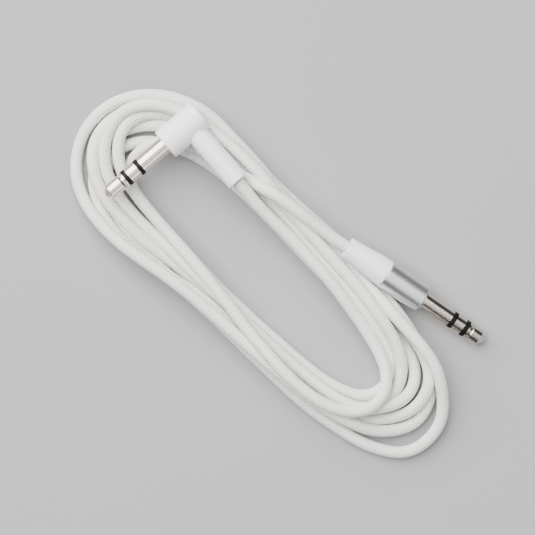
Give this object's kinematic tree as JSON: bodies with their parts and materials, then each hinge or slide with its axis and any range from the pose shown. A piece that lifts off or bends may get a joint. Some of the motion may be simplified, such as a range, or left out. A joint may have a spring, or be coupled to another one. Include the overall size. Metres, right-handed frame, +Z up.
{
  "type": "stereo audio patch cord",
  "caption": "White braided stereo audio cord wound in a flat oval hank, with a straight 3.5 mm plug at one end and a right-angle 3.5 mm plug at the other.",
  "frame": {"origin": "on the surface the cord lies on, under the middle of the whole part's bounding box", "axes": "+X along the long side of the hank, towards the end the straight plug points to; +Y towards the side with both plugs; +Z up"},
  "size_m": [0.095, 0.0353, 0.0109],
  "materials": {
    "braided_cord": "fine woven textile braid over the jacket",
    "white_plastic": "smooth satin moulding",
    "satin_aluminium": "satin anodised",
    "plated_contact": "polished nickel plate",
    "black_insulator": "smooth black",
    "inner_plastic": "plain moulded",
    "red_core": "core insulation",
    "white_core": "core insulation",
    "bare_copper": "twisted bare copper"
  },
  "bodies": {
    "cable": {"cord_hank": "braided_cord", "cord_to_straight_plug": "braided_cord", "cord_to_right_angle_plug": "braided_cord", "straight_plug_barrel": "satin_aluminium", "straight_plug_boot": "white_plastic", "straight_plug_tip_contact": "plated_contact", "straight_plug_ring_contact": "plated_contact", "straight_plug_sleeve_contact": "plated_contact", "straight_plug_front_insulator": "black_insulator", "straight_plug_rear_insulator": "black_insulator", "straight_plug_rod_insulator": "inner_plastic", "straight_plug_tube_insulator": "inner_plastic", "straight_plug_tip_tag": "plated_contact", "straight_plug_ring_tag": "plated_contact", "straight_plug_ground_tag": "plated_contact", "straight_plug_inner_mould": "inner_plastic", "straight_plug_left_core": "red_core", "straight_plug_right_core": "white_core", "straight_plug_ground_wire": "bare_copper", "straight_plug_cord_end": "braided_cord", "right_angle_plug_shell": "white_plastic", "right_angle_plug_boot": "white_plastic", "right_angle_plug_tip_contact": "plated_contact", "right_angle_plug_ring_contact": "plated_contact", "right_angle_plug_sleeve_contact": "plated_contact", "right_angle_plug_front_insulator": "black_insulator", "right_angle_plug_rear_insulator": "black_insulator", "right_angle_plug_rod_insulator": "inner_plastic", "right_angle_plug_tube_insulator": "inner_plastic", "right_angle_plug_tip_tag": "plated_contact", "right_angle_plug_ring_tag": "plated_contact", "right_angle_plug_ground_tag": "plated_contact", "right_angle_plug_inner_mould": "inner_plastic", "right_angle_plug_left_core": "red_core", "right_angle_plug_right_core": "white_core", "right_angle_plug_ground_wire": "bare_copper", "right_angle_plug_cord_end": "braided_cord"}
  },
  "joints": []
}
